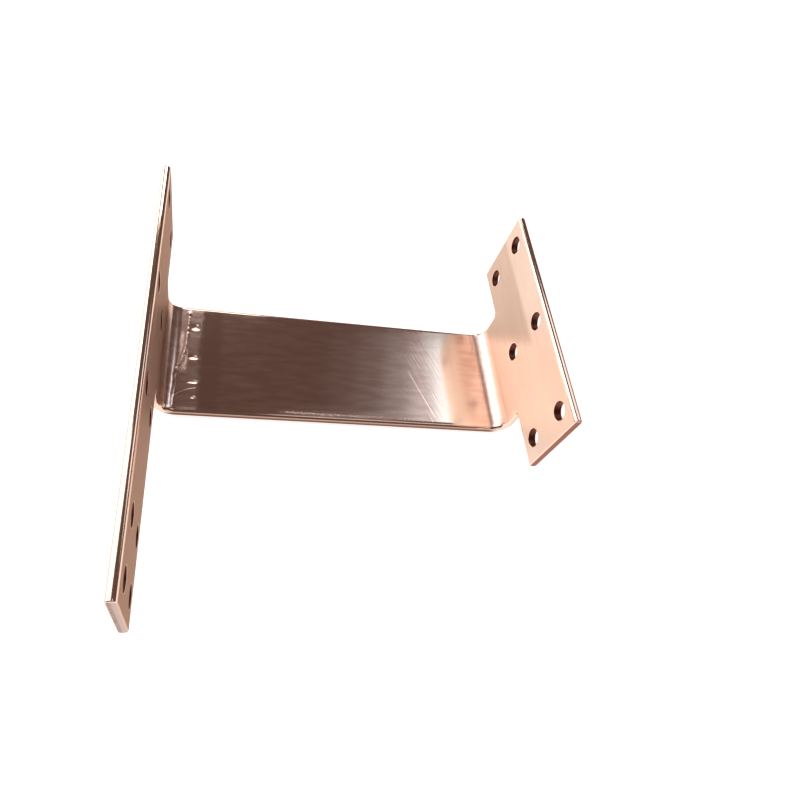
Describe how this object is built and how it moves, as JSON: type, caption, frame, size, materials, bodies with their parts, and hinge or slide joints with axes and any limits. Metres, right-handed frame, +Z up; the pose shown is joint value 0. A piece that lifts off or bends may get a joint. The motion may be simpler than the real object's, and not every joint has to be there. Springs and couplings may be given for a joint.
{
  "type": "copper busbar",
  "caption": "Flat copper bar bent up at both ends into wide upright connection plates, one longer than the other, drilled with groups of bolt holes to join high-current conductors.",
  "frame": {"origin": "centre of the underside of the strip, where the part rests", "axes": "+X along the strip from the long plate to the short plate, +Y across the strip and away from the long plate's extension, +Z up towards the top of the plates"},
  "size_m": [0.287, 0.309, 0.104],
  "materials": {
    "copper": "buffed bare copper, brushed along the bar, with sawn ends"
  },
  "bodies": {
    "root": {"busbar": "copper"}
  },
  "joints": []
}
